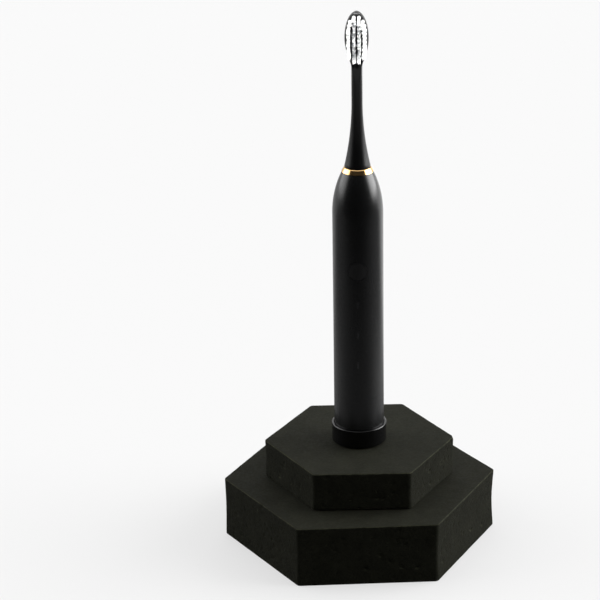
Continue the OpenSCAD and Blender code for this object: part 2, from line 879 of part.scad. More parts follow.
module gland_seal() {
    color("#1f1f21") on_seat() rotate_extrude() difference() {
        union() {
            translate([shaft_r + shaft_gap, deck_z - gland_flange_t])
                square([collar_r - shaft_r - shaft_gap, gland_flange_t]);
            translate([shaft_r + shaft_gap, deck_z - eps])
                square([gland_r - touch - shaft_r - shaft_gap, deck_t + spigot_h - 0.5]);
        }
        translate([shaft_r + 1.1, deck_z + 1]) square([gland_r - shaft_r - 2.4, 10]);
    }
}

module gland_clamp() {
    color("#c9ccd0") on_seat() ring(collar_r, shaft_r + 1, clamp_z, clamp_t - touch);
}

// ---------- brush head ----------

module plate_outline() {
    d_end = plate_top_len + plate_low_len;
    ds = [for (i = [0:24]) d_end * (1 - cos(7.5 * i)) / 2];
    polygon(concat(
        [for (i = [0:24]) [plate_half(ds[i]), -ds[i]]],
        [for (i = [23:-1:1]) [-plate_half(ds[i]), -ds[i]]]
    ));
}

module bristle_plate() {
    front(head_top) translate([0, 0, plate_front - plate_t]) linear_extrude(height = plate_t) plate_outline();
}

module neck_profile() {
    difference() {
        translate([0, head_z]) square([head_foot_r, neck_len]);
        translate([neck_r + neck_arc_r, neck_straight_z]) circle(r = neck_arc_r, $fn = 512);
    }
}

module neck_blend() {
    low = head_top - plate_top_len - plate_low_len;
    hull() {
        translate([0, 0, low - 9]) cylinder(r = neck_r, h = 0.5, $fn = 32);
        translate([0, 0, low + 1]) rotate([0, 0, 90]) scale([0.8, 1.05, 1]) cylinder(r = neck_r, h = 3, $fn = 32);
    }
}

module tuft_holes() {
    for (t = concat(outer_tuft_at, inner_tuft_at)) translate([t[0], 0, t[1]]) rotate([90, 0, 0])
        translate([0, 0, plate_front - tuft_hole_depth]) cylinder(r = tuft_r + tuft_gap, h = 10);
}

module head_body() {
    bore = socket_r + touch;
    hollow = head_foot_r - 1.4;
    color("#121314") on_seat() difference() {
        union() {
            rotate_extrude() neck_profile();
            disc(neck_r, neck_straight_z - eps, head_top - plate_top_len - plate_low_len - 8.8 - neck_straight_z);
            neck_blend();
            bristle_plate();
        }
        rotate_extrude() polygon([
            [0, head_z - 1], [hollow, head_z - 1], [hollow, head_z + 2.5], [bore, head_z + 6.5],
            [bore, socket_top + touch], [0, socket_top + touch]
        ]);
        tuft_holes();
    }
}

module head_socket() {
    color("#d9d6cc") on_seat() difference() {
        union() {
            disc(socket_r, socket_z, socket_top - socket_z);
            disc(socket_r + 0.9, socket_z, 1);
        }
        disc(shaft_r + shaft_gap, socket_z - 1, shaft_top + 0.2 - socket_z + 1);
        block(2, 0, socket_r + 1, clip_leaf_z - 0.2, clip_leaf_z + clip_leaf_len + 0.2);
    }
}

module socket_spring() {
    outside = socket_r - 0.25;
    color("#c9ccd0") on_seat() {
        block(1.8, shaft_flat + shaft_gap, shaft_flat + shaft_gap + leaf_t, clip_leaf_z, clip_leaf_z + clip_leaf_len);
        for (z = [clip_leaf_z, clip_leaf_z + clip_leaf_len - leaf_t])
            block(1.8, shaft_flat + shaft_gap, outside, z, z + leaf_t);
    }
}

module tufts(places, length) {
    for (t = places) translate([t[0], 0, t[1]]) rotate([90, 0, 0])
        translate([0, 0, plate_front - tuft_hole_depth + anchor_h + 0.1])
            cylinder(r = tuft_r, h = tuft_hole_depth - anchor_h - 0.1 + length);
}

module outer_tufts() {
    color("#f4f4f2") on_seat() tufts(outer_tuft_at, outer_tuft_len);
}

module inner_tufts() {
    color("#b9bbba") on_seat() tufts(inner_tuft_at, inner_tuft_len);
}

module tuft_anchors() {
    color("#c8a24a") on_seat() for (t = concat(outer_tuft_at, inner_tuft_at)) translate([t[0], 0, t[1]])
        rotate([90, 0, 0]) translate([-0.8, -0.12, plate_front - tuft_hole_depth + 0.05])
            cube([1.6, 0.24, anchor_h]);
}

// ---------- nodes ----------

lower_tier();
upper_tier();
tier_bond();
charger_cup();
charger_cover();
charger_foot();
charger_screws();
charger_core();
charger_coil();
charger_board();
charger_chips();
usb_shell();
usb_tongue();
handle_shell();
accent_ring();
mode_windows();
light_guide();
power_button();
button_seal();
switch_body();
switch_plunger();
bottom_cap();
cap_seal();
coil_bobbin();
pickup_coil();
coil_leads();
chassis();
battery_cell();
battery_tabs();
battery_pads();
main_board();
board_chips();
mode_lights();
board_screws();
motor_leads();
motor_case();
motor_end_plate();
rear_bush();
front_bush();
stator_poles();
stator_coils();
motor_damper();
gland_seal();
gland_clamp();
drive_shaft();
rotor_yoke();
rotor_magnets();
shaft_clip();
head_body();
head_socket();
socket_spring();
outer_tufts();
inner_tufts();
tuft_anchors();
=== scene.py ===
import json
import math
import random

import bmesh
import bpy
from mathutils import Matrix, Vector, noise


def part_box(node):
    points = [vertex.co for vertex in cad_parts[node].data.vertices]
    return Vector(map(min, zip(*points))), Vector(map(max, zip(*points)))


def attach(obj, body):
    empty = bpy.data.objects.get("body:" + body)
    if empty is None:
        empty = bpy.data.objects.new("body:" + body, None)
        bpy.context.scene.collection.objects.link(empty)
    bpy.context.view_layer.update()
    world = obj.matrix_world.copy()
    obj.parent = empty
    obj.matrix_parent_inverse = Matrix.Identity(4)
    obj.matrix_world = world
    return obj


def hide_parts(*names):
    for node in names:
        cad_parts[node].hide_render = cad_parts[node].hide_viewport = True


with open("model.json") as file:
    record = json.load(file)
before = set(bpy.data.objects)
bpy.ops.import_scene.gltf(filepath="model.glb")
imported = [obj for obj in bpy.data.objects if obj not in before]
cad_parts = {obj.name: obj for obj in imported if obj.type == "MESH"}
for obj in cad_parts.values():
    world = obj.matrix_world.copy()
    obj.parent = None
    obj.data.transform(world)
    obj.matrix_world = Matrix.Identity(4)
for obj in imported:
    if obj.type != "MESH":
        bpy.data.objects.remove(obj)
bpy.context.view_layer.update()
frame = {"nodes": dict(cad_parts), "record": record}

nodes = frame["nodes"]
MM = 0.001


# ---------- shader maths ----------

class Number:
    """A varying number in a material. Sums and products of it add their own nodes."""

    def __init__(self, look, socket):
        self.look = look
        self.socket = socket

    def __add__(self, other):
        return self.look.work("ADD", self, other)

    def __sub__(self, other):
        return self.look.work("SUBTRACT", self, other)

    def __rsub__(self, other):
        return self.look.work("SUBTRACT", other, self)

    def __mul__(self, other):
        return self.look.work("MULTIPLY", self, other)

    __radd__ = __add__
    __rmul__ = __mul__

    def clear_of(self, low, high):
        """0 below low, 1 above high and smooth between them."""
        return self.look.number("ShaderNodeMapRange", {"interpolation_type": "SMOOTHSTEP"},
                                {"Value": self, "From Min": low, "From Max": high})

    def most(self, other):
        """The greater of the two."""
        return self.look.work("MAXIMUM", self, other)

    def size(self):
        """The number without its sign."""
        return self.look.work("ABSOLUTE", self, 0)


class Graph:
    """Adds nodes to one tree. A material and the studio walls each have one."""

    def __init__(self, tree):
        self.tree = tree
        self.tree.nodes.clear()

    def node(self, kind, settings, inputs):
        """A node of any kind: its settings first, and then a value or a link for each socket."""
        made = self.tree.nodes.new(kind)
        for name, value in settings.items():
            setattr(made, name, value)
        for name, value in inputs.items():
            self.feed(made.inputs[name], value)
        return made

    def feed(self, socket, value):
        if isinstance(value, Number):
            value = value.socket
        if isinstance(value, bpy.types.NodeSocket):
            self.tree.links.new(value, socket)
        else:
            socket.default_value = value

    def number(self, kind, settings, inputs, output=0):
        return Number(self, self.node(kind, settings, inputs).outputs[output])

    def work(self, operation, a, b):
        return self.number("ShaderNodeMath", {"operation": operation}, {0: a, 1: b})

    def seen_directly(self):
        """1 for rays straight from the camera and 0 for the light that is thrown about."""
        return self.number("ShaderNodeLightPath", {}, {}, "Is Camera Ray")


class Look(Graph):
    """One finish: a material with a single principled shader."""

    def __init__(self, name, metallic=0.0, specular=0.5):
        self.material = bpy.data.materials.new(name)
        self.material.use_nodes = True
        super().__init__(self.material.node_tree)
        self.shader = self.node("ShaderNodeBsdfPrincipled", {}, {
            "Metallic": metallic, "Specular IOR Level": specular, "IOR": 1.5})
        self.node("ShaderNodeOutputMaterial", {}, {"Surface": self.shader.outputs[0]})
        self.place = self.node("ShaderNodeTexCoord", {}, {}).outputs["Object"]
        self.bumps = None

    # patterns, all on Object coordinates

    def drawn(self, scale):
        """Places drawn out along an axis, for patterns with a grain. A small scale gives long marks."""
        return self.node("ShaderNodeMapping", {}, {"Vector": self.place, "Scale": scale}).outputs[0]

    def cloud(self, size, detail=2.0, rough=0.5, at=None, warp=0.0):
        """Soft noise whose blotches are about size metres across, from 0 to 1."""
        return self.number("ShaderNodeTexNoise", {}, {
            "Vector": at or self.place, "Scale": 1 / size, "Detail": detail, "Roughness": rough,
            "Distortion": warp})

    def cells(self, size, output="Distance", feature="F1", at=None, jitter=1.0):
        """Cells about size metres across: the distance from each one's middle, or a shade for each cell."""
        return self.number("ShaderNodeTexVoronoi", {"feature": feature}, {
            "Vector": at or self.place, "Scale": 1 / size, "Randomness": jitter}, output)

    def bands(self, pitch, direction="Z", wobble=0.0):
        """Waves across a direction, one every pitch metres."""
        return self.number("ShaderNodeTexWave", {"bands_direction": direction}, {
            "Vector": self.place, "Scale": math.pi / (10 * pitch), "Distortion": wobble,
            "Detail": 1.0, "Detail Scale": 4.0})

    def facing_up(self):
        """1 on level faces and 0 on upright ones."""
        normal = self.node("ShaderNodeNewGeometry", {}, {}).outputs["Normal"]
        return self.number("ShaderNodeSeparateXYZ", {}, {"Vector": normal}, "Z").size()

    def axis(self, name):
        return self.number("ShaderNodeSeparateXYZ", {}, {"Vector": self.place}, name)

    # what the shader takes

    def blend(self, factor, low, high):
        return self.node("ShaderNodeMix", {"data_type": "RGBA"}, {
            "Factor": factor, 6: as_colour(low), 7: as_colour(high)}).outputs[2]

    def colour(self, value):
        self.feed(self.shader.inputs["Base Color"], as_colour(value))

    def rough(self, value):
        self.feed(self.shader.inputs["Roughness"], value)

    def fix(self, name, value):
        """A value that is the same all over, on the shader's own socket."""
        self.feed(self.shader.inputs[name], value)

    def bump(self, height, depth, strength=1.0):
        """Relief whose height runs from 0 to 1 and whose depth is in metres. Each call adds to the last."""
        inputs = {"Height": height, "Distance": depth, "Strength": strength}
        if self.bumps is not None:
            inputs["Normal"] = self.bumps
        self.bumps = self.node("ShaderNodeBump", {}, inputs).outputs[0]
        self.feed(self.shader.inputs["Normal"], self.bumps)


def as_colour(value):
    """Three numbers become a full colour; a link or a full colour stays as it is."""
    return (*value, 1) if isinstance(value, tuple) and len(value) == 3 else value


# ---------- finishes ----------

def cut_foam(name, base, dark):
    """Closed skin on top; on the cut sides, open cells, torn specks and paler rubbed blotches. The rounded
    rims carry a painted highlight.
    """
    look = Look(name, specular=0.09)
    level = look.facing_up()
    up = level.clear_of(0.55, 0.9)
    side = 1 - up
    # painted highlight: a mask of the tilted faces of the rounded rims, found from their normals
    painted_rim_highlight = level.clear_of(0.12, 0.4) * (1 - level.clear_of(0.8, 0.97))
    blotch = look.cloud(9 * MM, 4, 0.62, warp=0.5).clear_of(0.36, 0.68)
    mottle = look.cloud(1.7 * MM, 4, 0.7).clear_of(0.36, 0.64)
    cell = look.cells(0.62 * MM).clear_of(0.08, 0.46)
    speck = look.cloud(0.75 * MM, 2, 0.6).clear_of(0.56, 0.72)
    rub = look.cloud(2.6 * MM, 3, 0.7, warp=0.8).clear_of(0.60, 0.74) * side
    tone = blotch * 0.5 + mottle * 0.35 + cell * 0.15
    shade = look.blend(tone, dark, base)
    shade = look.blend(rub * 0.5, shade, tuple(c * 1.9 for c in base))
    shade = look.blend(speck * (0.2 + 0.6 * side), shade, tuple(c * 0.25 for c in dark))
    # painted highlight: the rounded rims are lightened to three times the base colour
    shade = look.blend(painted_rim_highlight * (0.35 + 0.65 * blotch), shade, tuple(c * 3.0 for c in base))
    look.colour(shade)
    look.rough(0.74 + 0.16 * mottle + 0.08 * side)
    look.bump(cell, 0.07 * MM, 0.6)
    look.bump(look.cloud(0.8 * MM, 3, 0.65) * (0.2 + 0.8 * side), 0.22 * MM, 0.8)
    look.bump(mottle * (0.25 + 0.75 * side), 0.20 * MM, 0.7)
    look.bump(look.cloud(8 * MM, 2, 0.5), 0.25 * MM, 0.4)
    return look


def bond_sheet_with_painted_shadow(name):
    """The black adhesive sheet between the slabs. Its near-black is also painted shade: it stands for the
    thin shadow line under the upper slab.
    """
    look = Look(name, specular=0.2)
    speck = look.cloud(0.8 * MM, 3, 0.6)
    # partly painted shade: the adhesive's own black, darkened to stand for the shadow line under the upper
    # slab
    look.colour(look.blend(speck, (0.003, 0.003, 0.003), (0.010, 0.010, 0.009)))
    look.rough(0.75 + 0.2 * speck)
    look.bump(speck, 0.08 * MM, 0.6)
    return look


def soft_touch(name, shade, lift, rough=0.23, grain=0.12, specular=0.5):
    """Black soft-touch lacquer: an even satin skin with a very fine orange peel and faint handling marks."""
    look = Look(name, specular=specular)
    drift = look.cloud(26 * MM, 2, 0.5)
    fine = look.cloud(grain * MM, 2, 0.5)
    wiped = look.cloud(9 * MM, 3, 0.6, at=look.drawn((1, 1, 0.25)), warp=0.6).clear_of(0.52, 0.78)
    look.colour(look.blend(drift * 0.7 + fine * 0.3, shade, lift))
    look.rough(rough + 0.05 * drift + 0.03 * fine - 0.045 * wiped)
    look.bump(fine, 0.006 * MM, 0.5)
    look.bump(look.cloud(1.4 * MM, 2, 0.5), 0.010 * MM, 0.4)
    return look


def gloss_black(name, shade, lift):
    """Polished black plastic with a haze of handling and a few fine scuffs."""
    look = Look(name)
    haze = look.cloud(7 * MM, 3, 0.6, warp=0.5).clear_of(0.45, 0.8)
    line = look.cloud(0.5 * MM, 2, 0.5, at=look.drawn((1, 1, 6))).clear_of(0.60, 0.72)
    look.colour(look.blend(haze, shade, lift))
    look.rough(0.10 + 0.05 * haze + 0.10 * line)
    look.bump(look.cloud(3 * MM, 2, 0.5), 0.010 * MM, 0.4)
    return look


def plated(name, shade, deep, rough, grain, direction=(1, 1, 1), spread=0.08):
    """Plated or drawn metal, whose grain runs along the axes that have the smaller scale."""
    look = Look(name, metallic=1.0)
    lines = look.cloud(grain * MM, 3, 0.6, at=look.drawn(direction))
    haze = look.cloud(4 * MM, 2, 0.5)
    look.colour(look.blend(lines * 0.6 + haze * 0.4, deep, shade))
    look.rough(rough + spread * lines + 0.05 * haze)
    look.bump(lines, 0.006 * MM, 0.4)
    return look


def moulded(name, shade, deep, rough=0.5, grain=0.25, depth=0.02):
    """Moulded plastic: a spark-eroded texture with slight flow marks."""
    look = Look(name, specular=0.45)
    spark = look.cells(grain * MM, feature="SMOOTH_F1")
    flow = look.cloud(8 * MM, 3, 0.55, warp=0.8)
    look.colour(look.blend(flow * 0.7 + spark * 0.3, deep, shade))
    look.rough(rough + 0.10 * flow + 0.06 * spark)
    look.bump(spark, depth * MM, 0.5)
    return look


def rubbery(name, shade, deep):
    """Silicone, dull and a little dusty."""
    look = Look(name, specular=0.35)
    dust = look.cloud(1.6 * MM, 4, 0.65).clear_of(0.45, 0.8)
    look.colour(look.blend(dust, deep, shade))
    look.rough(0.62 + 0.2 * dust)
    look.bump(look.cloud(0.3 * MM, 2, 0.5), 0.015 * MM, 0.6)
    return look


def wound_wire(name, shade, deep):
    """Turns of enamelled wire, laid side by side up the winding."""
    look = Look(name, metallic=0.85)
    turns = look.bands(0.3 * MM, wobble=0.15)
    tint = look.cloud(2.5 * MM, 2, 0.5)
    look.colour(look.blend(turns * 0.6 + tint * 0.4, deep, shade))
    look.rough(0.24 + 0.2 * (1 - turns))
    look.bump(turns, 0.06 * MM, 0.9)
    return look


def circuit_mask(name):
    """Green solder mask over copper runs."""
    look = Look(name)
    run_x = look.bands(0.9 * MM, "X").clear_of(0.62, 0.70)
    run_z = look.bands(1.3 * MM, "Z").clear_of(0.66, 0.74)
    field = look.cells(5 * MM, "Color", jitter=0.8).clear_of(0.45, 0.55)
    runs = run_x * field + run_z * (1 - field)
    glass = look.cloud(0.35 * MM, 2, 0.5)
    look.colour(look.blend(runs, (0.010, 0.085, 0.030), (0.030, 0.170, 0.060)))
    look.rough(0.30 + 0.12 * glass)
    look.bump(runs, 0.02 * MM, 0.6)
    return look


def pressed_powder(name, shade, deep, rough=0.7, metallic=0.0):
    """Ferrite, magnet and sintered bronze: fine grains and open pores."""
    look = Look(name, metallic=metallic, specular=0.4)
    grains = look.cells(0.18 * MM)
    pores = look.cells(0.5 * MM).clear_of(0.08, 0.2)
    look.colour(look.blend(grains * 0.6 + pores * 0.4, deep, shade))
    look.rough(rough + 0.1 * grains)
    look.bump(grains, 0.02 * MM, 0.6)
    look.bump(pores, 0.03 * MM, 0.6)
    return look


def laminations(name):
    """Stacked core sheets, lightly stained."""
    look = Look(name, metallic=0.7)
    sheets = look.bands(0.5 * MM)
    stain = look.cloud(3 * MM, 3, 0.6)
    look.colour(look.blend(sheets * 0.5 + stain * 0.5, (0.05, 0.05, 0.055), (0.20, 0.205, 0.215)))
    look.rough(0.38 + 0.25 * stain)
    look.bump(sheets, 0.04 * MM, 0.8)
    return look


def cell_sleeve(name):
    """Blue heat-shrink sleeve over the cell's can."""
    look = Look(name)
    shrink = look.cloud(5 * MM, 3, 0.55, at=look.drawn((1, 1, 0.2)))
    mottle = look.cloud(0.6 * MM, 2, 0.5)
    look.colour(look.blend(shrink * 0.7 + mottle * 0.3, (0.015, 0.06, 0.20), (0.05, 0.17, 0.42)))
    look.rough(0.26 + 0.12 * shrink)
    look.bump(shrink, 0.03 * MM, 0.5)
    return look


def nylon(name, shade, deep, low, high):
    """Bristle nylon: light soaks through it, and clumps of filaments stand lighter or darker."""
    look = Look(name, specular=0.4)
    strand = look.cells(0.4 * MM, "Color", at=look.drawn((1, 0.02, 1)))
    clump = look.cloud(0.9 * MM, 2, 0.6, at=look.drawn((1, 0.05, 1))).clear_of(low, high)
    look.colour(look.blend(clump * (0.6 + 0.4 * strand), deep, shade))
    look.rough(0.45 + 0.12 * strand)
    look.fix("Subsurface Weight", 0.35)
    look.fix("Subsurface Radius", (1.0, 1.0, 1.0))
    look.fix("Subsurface Scale", 0.6 * MM)
    look.bump(clump, 0.01 * MM, 0.4)
    return look


def clear_moulding(name, shade, alpha):
    """Clear or milky resin with faint flow marks."""
    look = Look(name)
    flow = look.cloud(3 * MM, 2, 0.5)
    look.colour(look.blend(flow, tuple(c * 0.85 for c in shade), shade))
    look.rough(0.08 + 0.08 * flow)
    look.fix("Alpha", alpha)
    look.bump(flow, 0.01 * MM, 0.4)
    return look


FINISH = {
    "foam": cut_foam("cut_black_foam", (0.0110, 0.0113, 0.0070), (0.0056, 0.0059, 0.0032)),
    "bond": bond_sheet_with_painted_shadow("bonding_sheet"),
    "cup_plastic": gloss_black("cup_gloss_black", (0.0014, 0.0014, 0.0016), (0.0024, 0.0024, 0.0026)),
    "black_rubber": rubbery("black_silicone", (0.035, 0.035, 0.034), (0.012, 0.012, 0.012)),
    "steel": plated("bright_steel", (0.62, 0.63, 0.65), (0.42, 0.43, 0.45), 0.22, 0.25, (1, 1, 0.1)),
    "ferrite": pressed_powder("grey_ferrite", (0.075, 0.075, 0.08), (0.035, 0.035, 0.038)),
    "copper_wire": wound_wire("enamelled_copper", (0.72, 0.33, 0.13), (0.30, 0.11, 0.04)),
    "board_green": circuit_mask("solder_mask"),
    "chip_black": moulded("chip_resin", (0.022, 0.022, 0.023), (0.010, 0.010, 0.011), 0.5, 0.15, 0.01),
    "nickel": plated("nickel_plate", (0.70, 0.68, 0.63), (0.50, 0.48, 0.44), 0.18, 0.3),
    "tongue_black": moulded("contact_tongue", (0.020, 0.020, 0.020), (0.008, 0.008, 0.008), 0.45, 0.2, 0.01),
    "handle_black": soft_touch("soft_touch_black", (0.0036, 0.0038, 0.0040), (0.0052, 0.0054, 0.0056)),
    "button_black": soft_touch("button_satin_black",
        (0.006, 0.006, 0.0065), (0.010, 0.010, 0.0105), 0.30, 0.1),
    "gold": plated("polished_gold", (0.98, 0.66, 0.32), (0.80, 0.46, 0.17), 0.09, 0.5, (1, 1, 4), 0.04),
    "window_smoke": gloss_black("smoked_window", (0.022, 0.022, 0.024), (0.034, 0.034, 0.036)),
    "clear_guide": clear_moulding("clear_light_guide", (0.85, 0.90, 0.92), 0.35),
    "plunger_white": moulded("switch_plunger_white", (0.75, 0.75, 0.72), (0.62, 0.62, 0.58)),
    "cap_black": moulded("end_cap_black", (0.014, 0.014, 0.015), (0.008, 0.008, 0.009), 0.40, 0.22, 0.012),
    "bobbin_white": moulded("bobbin_nylon", (0.72, 0.70, 0.64), (0.58, 0.56, 0.50)),
    "chassis_white": moulded("chassis_white", (0.78, 0.78, 0.74), (0.64, 0.64, 0.60)),
    "cell_wrap": cell_sleeve("cell_sleeve_blue"),
    "led_cream": clear_moulding("light_resin", (0.86, 0.84, 0.64), 1.0),
    "lead_red": moulded("lead_sleeving_red", (0.42, 0.045, 0.03), (0.26, 0.025, 0.02), 0.38, 0.4, 0.01),
    "motor_steel": plated("drawn_steel", (0.50, 0.51, 0.52), (0.30, 0.31, 0.32), 0.30, 0.4, (1, 1, 0.12)),
    "bronze": pressed_powder("sintered_bronze", (0.50, 0.29, 0.11), (0.24, 0.13, 0.05), 0.42, 0.9),
    "core_steel": laminations("core_laminations"),
    "magnet": pressed_powder("coated_magnet", (0.060, 0.062, 0.066), (0.030, 0.031, 0.034), 0.40, 0.4),
    "head_black": soft_touch("head_satin_black",
        (0.0024, 0.0025, 0.0026), (0.0036, 0.0037, 0.0038), 0.27, 0.15, 0.38),
    "socket_ivory": moulded("socket_acetal", (0.68, 0.66, 0.58), (0.54, 0.52, 0.45)),
    "bristle_white": nylon("white_bristle", (0.96, 0.96, 0.95), (0.84, 0.84, 0.83), 0.35, 0.6),
    "bristle_grey": nylon("grey_bristle", (0.94, 0.95, 0.95), (0.20, 0.205, 0.21), 0.42, 0.60),
    "anchor_brass": plated("anchor_brass", (0.62, 0.44, 0.17), (0.42, 0.28, 0.10), 0.30, 0.2),
}
for part in frame["record"]["subparts"]:
    mesh = nodes[part["node"]].data
    mesh.materials.clear()
    mesh.materials.append(FINISH[part["material_slot"]].material)


# ---------- modelling helpers ----------

def smooth(t):
    """From 0 to 1 with no corner at either end."""
    t = min(max(t, 0), 1)
    return t * t * (3 - 2 * t)


def edit(obj):
    """Into edit mode with obj alone selected."""
    if bpy.context.object is not None and bpy.context.object.mode != "OBJECT":
        bpy.ops.object.mode_set(mode="OBJECT")
    bpy.ops.object.select_all(action="DESELECT")
    bpy.context.view_layer.objects.active = obj
    obj.select_set(True)
    bpy.ops.object.mode_set(mode="EDIT")


def leave():
    """Back to object mode."""
    bpy.ops.object.mode_set(mode="OBJECT")


def fresh(primitive, **how):
    """A new primitive, alone and active in edit mode with all of it selected."""
    if bpy.context.object is not None and bpy.context.object.mode != "OBJECT":
        leave()
    bpy.ops.object.select_all(action="DESELECT")
    primitive(**how)
    obj = bpy.context.object
    edit(obj)
    bpy.ops.mesh.select_all(action="SELECT")
    return obj


def pick(obj, test, kind="VERT"):
    """In edit mode, selects exactly the verts, edges or faces of obj that pass the test."""
    bpy.ops.mesh.select_mode(type=kind)
    bpy.ops.mesh.select_all(action="DESELECT")
    mesh = bmesh.from_edit_mesh(obj.data)
    for item in {"VERT": mesh.verts, "EDGE": mesh.edges, "FACE": mesh.faces}[kind]:
        item.select_set(bool(test(item)))
    mesh.select_flush_mode()
    bmesh.update_edit_mesh(obj.data)


def stretch_to(lift, scale, about):
    """Extrudes what is selected by lift and resizes the new edge loop about a point."""
    bpy.ops.mesh.extrude_region_move(TRANSFORM_OT_translate={"value": lift})
    bpy.ops.transform.resize(value=scale, center_override=about)


def settle(obj, name, angle=35):
    """Puts the object's place into its mesh, names it and shades it."""
    leave()
    bpy.ops.object.select_all(action="DESELECT")
    bpy.context.view_layer.objects.active = obj
    obj.select_set(True)
    bpy.ops.object.transform_apply(location=True, rotation=True, scale=True)
    bpy.ops.object.shade_smooth_by_angle(angle=math.radians(angle))
    obj.name = obj.data.name = name
    return obj


def dress(obj, slot, body, *replaced):
    """Gives a new piece its finish and its body, and hides the CAD nodes that it stands for."""
    obj.data.materials.clear()
    obj.data.materials.append(FINISH[slot].material)
    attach(obj, body)
    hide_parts(*replaced)


# ---------- foam slabs ----------

CORNER_R = 2.5 * MM        # upright corners
EDGE_R = 0.55 * MM         # rims at top and bottom
RIM_ARC = [(EDGE_R * (1 - math.cos(a)), EDGE_R * math.sin(a)) for a in map(math.radians, (30, 60, 90))]
TOP_LOOPS = (1, 2.5, 5, 9, 14, 20, 28, 36, 45, 54)      # loops in from the rim, in mm, close together near it
BOTTOM_LOOPS = (3, 14)
INNERMOST = 6 * MM         # no loop lies closer to the middle than this
SIXTH = math.pi / 3
TEAR_WIDTHS = (0.5, 0.6, 0.7, 0.9, 1.2, 1.6)            # in mm


def foam_slab(name, node, across, turn, cell, tears, bow, seed, nick=None, clipped=None):
    """A hexagonal slab cut from sheet foam: rounded upright corners, sides that the cutter left slightly
    hollow, wavy rims, and open cells torn along the cut. across is from corner to corner, turn is in degrees
    and cell is the size of the mesh on the sides."""
    low, high = (Vector(p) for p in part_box(node))
    tall = high.z - low.z
    side = across / 2
    apothem = side * math.cos(math.pi / 6)
    slab = fresh(bpy.ops.mesh.primitive_circle_add, vertices=6, radius=side, fill_type="NGON",
                 rotation=(0, 0, math.radians(30)), location=(0, 0, low.z + EDGE_R))
    leave()
    bpy.ops.object.transform_apply(location=False, rotation=True, scale=False)
    edit(slab)
    bpy.ops.mesh.bevel(affect="VERTICES", offset=CORNER_R * math.tan(math.pi / 6), segments=6)
    bpy.ops.mesh.select_all(action="SELECT")
    bpy.ops.mesh.delete(type="ONLY_FACE")
    pick(slab, lambda e: e.calc_length() > side / 2, "EDGE")
    bpy.ops.mesh.subdivide(number_cuts=int(side / cell))
    bpy.ops.mesh.select_mode(type="EDGE")
    bpy.ops.mesh.select_all(action="SELECT")
    rows = int((tall - 2 * EDGE_R) / cell)
    step = (tall - 2 * EDGE_R) / rows
    for _ in range(rows):
        bpy.ops.mesh.extrude_region_move(TRANSFORM_OT_translate={"value": (0, 0, step)})
    for sign, level in ((1, high.z - EDGE_R), (-1, low.z + EDGE_R)):
        here = level - slab.location.z
        pick(slab, lambda e: all(abs(v.co.z - here) < 2e-6 for v in e.verts), "EDGE")
        inset, rise = 0.0, 0.0
        flat = [(EDGE_R + more * MM, EDGE_R) for more in (TOP_LOOPS if sign > 0 else BOTTOM_LOOPS)]
        for new_inset, new_rise in RIM_ARC + [f for f in flat if f[0] < apothem - INNERMOST]:
            shrink = (apothem - new_inset) / (apothem - inset)
            stretch_to((0, 0, sign * (new_rise - rise)), (shrink, shrink, 1), (0, 0, 0))
            inset, rise = new_inset, new_rise
        bpy.ops.mesh.edge_face_add()
    bpy.ops.mesh.select_all(action="SELECT")
    bpy.ops.mesh.normals_make_consistent(inside=False)
    leave()
    slab.rotation_euler.z = math.radians(turn)
    bpy.ops.object.transform_apply(location=True, rotation=True, scale=True)
    weather(slab, low.z, high.z, apothem, tears, bow, seed, math.radians(turn), nick)
    if clipped:
        corner, cut = clipped
        clip_corner(slab, corner * SIXTH + math.radians(turn), cut)
    return settle(slab, name, 50)


def clip_corner(slab, heading, cut):
    """Knocks the top corner at a heading back, to a flat that is cut metres in from its tip."""
    facing = Vector((math.cos(heading) * 0.88, math.sin(heading) * 0.88, 0.47))
    limit = max(v.co.dot(facing) for v in slab.data.vertices) - cut
    for v in slab.data.vertices:
        past = v.co.dot(facing) - limit
        if past > 0:
            v.co -= facing * past
    slab.data.update()


